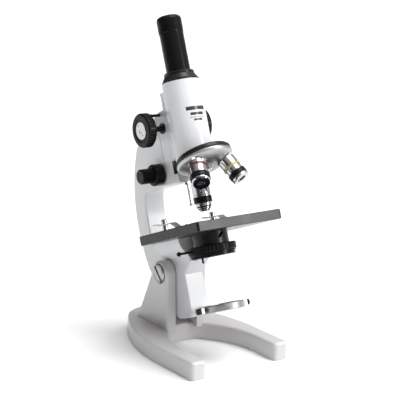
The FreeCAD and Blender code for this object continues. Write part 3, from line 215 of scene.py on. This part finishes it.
ARM_AT = Vector(JOINTS["arm_tilt"]["pos_m"])
ARM_UP = Vector(JOINTS["coarse_slide"]["axis"]).normalized()
ARM_BACK = ARM_UP.cross(Vector((1, 0, 0))).normalized()
TUBE_AXIS = ARM_AT - TUBE_REACH * MM * ARM_BACK
TURRET_APEX = Vector(JOINTS["turret_turn"]["pos_m"])
TURRET_AXIS = Vector(JOINTS["turret_turn"]["axis"]).normalized()


def in_frame(origin, axis, ahead):
    """A matrix whose Z runs along axis and whose Y points as far as it can along ahead."""
    z = axis.normalized()
    y = (ahead - z * ahead.dot(z)).normalized()
    x = y.cross(z)
    made = Matrix((x, y, z)).transposed().to_4x4()
    made.translation = origin
    return made


def solid(name, points, faces, matrix, material, body):
    """A closed mesh of points in metres, set in place by matrix, which rides on a CAD body."""
    mesh = bpy.data.meshes.new(name)
    mesh.from_pydata([matrix @ Vector(point) for point in points], [], faces)
    made = bpy.data.objects.new(name, mesh)
    bpy.context.scene.collection.objects.link(made)
    work = bmesh.new()
    work.from_mesh(mesh)
    bmesh.ops.recalc_face_normals(work, faces=work.faces)
    work.to_mesh(mesh)
    work.free()
    mesh.materials.append(MATERIALS[material])
    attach(made, body)


def printed_bar(name, half_angle, low, high):
    """A plain printed bar on the front of the body tube, a thin shell that follows its curve."""
    points = []
    for step in range(PRINT_STEPS + 1):
        angle = math.radians(-half_angle + 2 * half_angle * step / PRINT_STEPS)
        for radius in (PRINT_INNER * MM, PRINT_OUTER * MM):
            for height in (low, high):
                points.append((radius * math.sin(angle), radius * math.cos(angle), height * MM))
    faces = [(0, 1, 3, 2)]
    for step in range(PRINT_STEPS):
        a = 4 * step
        b = a + 4
        faces += [(a + 2, a + 3, b + 3, b + 2), (a, b, b + 1, a + 1),
                  (a, a + 2, b + 2, b), (a + 1, b + 1, b + 3, a + 3)]
    last = 4 * PRINT_STEPS
    faces.append((last, last + 2, last + 3, last + 1))
    matrix = in_frame(TUBE_AXIS, ARM_UP, -ARM_BACK)
    solid(name, points, faces, matrix, "print_black", "tube")


def knurled_ring(name, matrix, radius, low, high):
    """A closed ring whose outer wall is cut into teeth."""
    count = 2 * KNURL_TEETH
    points = []
    for step in range(count):
        angle = 2 * math.pi * step / count
        outer = radius if step % 2 else radius - KNURL_DEPTH
        for reach, height in ((KNURL_INNER, low), (outer, low),
                              (outer, high), (KNURL_INNER, high)):
            points.append((reach * MM * math.cos(angle), reach * MM * math.sin(angle),
                           height * MM))
    faces = []
    for step in range(count):
        a = 4 * step
        b = 4 * ((step + 1) % count)
        for k in range(4):
            m = (k + 1) % 4
            faces.append((a + k, b + k, b + m, a + m))
    solid(name, points, faces, matrix, "chrome", "turret")


for name, half_angle, low, high in PRINTED_BARS:
    printed_bar(name, half_angle, low, high)

for label, turn, low, high, radius in KNURLS:
    down = Matrix.Rotation(math.radians(turn), 3, TURRET_AXIS) @ -ARM_UP
    knurled_ring("objective_%s_knurl" % label, in_frame(TURRET_APEX, down, ARM_BACK),
                 radius, low, high)


# ---------------------------------------------------------------- studio
# Places are in metres.

FLOOR_HALF = 300.0              # so wide that its edge is at the horizon
FLOOR_TOP = -0.0004
SKY_TOWARDS = (0.42, -0.22, 0.88)       # the world is brightest this way
SKY_DIM = (0.10, 0.10, 0.103, 1)
SKY_BRIGHT = (0.95, 0.95, 0.96, 1)
SKY_BRIGHT_FROM = 0.85
SKY_STRENGTH = 0.8
CAMERA_AT = (-0.6980, -1.0445, 0.4416)
CAMERA_AIM = (0, -0.02118, 0.16719)
CAMERA_LENS = 107.24
CAMERA_SENSOR = 36.0


def add(name, data):
    made = bpy.data.objects.new(name, data)
    bpy.context.scene.collection.objects.link(made)
    return made


def floor():
    corners = ((-1, -1), (1, -1), (1, 1), (-1, 1))
    mesh = bpy.data.meshes.new("floor")
    mesh.from_pydata([(FLOOR_HALF * x, FLOOR_HALF * y, FLOOR_TOP) for x, y in corners],
                     [], [(0, 1, 2, 3)])
    s = Shader("floor_white", (0.93, 0.93, 0.93), 0.8, Specular_IOR_Level=0.1)
    s.vary_colour(s.noise(scale=3, detail=2), (0.925, 0.925, 0.93))
    mesh.materials.append(s.made)
    add("floor", mesh)


def sun(name, place, strength, spread):
    """A sun that shines from place towards the origin, as wide as spread in degrees."""
    data = bpy.data.lights.new(name, "SUN")
    data.energy = strength
    data.angle = math.radians(spread)
    made = add(name, data)
    made.rotation_euler = Vector(place).to_track_quat("Z", "Y").to_euler()


def lamp(name, place, target, size, power):
    data = bpy.data.lights.new(name, "AREA")
    data.shape = "RECTANGLE"
    data.size, data.size_y = size
    data.energy = power
    made = add(name, data)
    made.location = place
    made.rotation_euler = (Vector(target) - Vector(place)).to_track_quat("-Z", "Y").to_euler()


def sky():
    """A world that is brightest from above on the right and dim everywhere below."""
    world = bpy.data.worlds.new("studio")
    world.use_nodes = True
    tree = world.node_tree
    background = tree.nodes["Background"]
    place = tree.nodes.new("ShaderNodeTexCoord")
    along = tree.nodes.new("ShaderNodeVectorMath")
    along.operation = "DOT_PRODUCT"
    along.inputs[1].default_value = SKY_TOWARDS
    ramp = tree.nodes.new("ShaderNodeValToRGB")
    tree.links.new(place.outputs["Generated"], along.inputs[0])
    tree.links.new(along.outputs["Value"], ramp.inputs["Fac"])
    dim, bright = ramp.color_ramp.elements
    dim.color = SKY_DIM
    bright.color = SKY_BRIGHT
    bright.position = SKY_BRIGHT_FROM
    tree.links.new(ramp.outputs["Color"], background.inputs["Color"])
    background.inputs["Strength"].default_value = SKY_STRENGTH
    bpy.context.scene.world = world


def camera():
    data = bpy.data.cameras.new("camera")
    data.lens = CAMERA_LENS
    data.sensor_width = CAMERA_SENSOR
    made = add("camera", data)
    made.location = CAMERA_AT
    aim = Vector(CAMERA_AIM)
    made.rotation_euler = (aim - made.location).to_track_quat("-Z", "Y").to_euler()
    bpy.context.scene.camera = made


sky()
sun("overhead", place=(0.22, -0.30, 1.0), strength=2.7, spread=45)
lamp("front", place=(1.10, -1.62, 0.82), target=(0, 0, 0.2), size=(0.4, 0.7), power=13)
floor()
camera()
bpy.context.scene.view_settings.view_transform = "Standard"
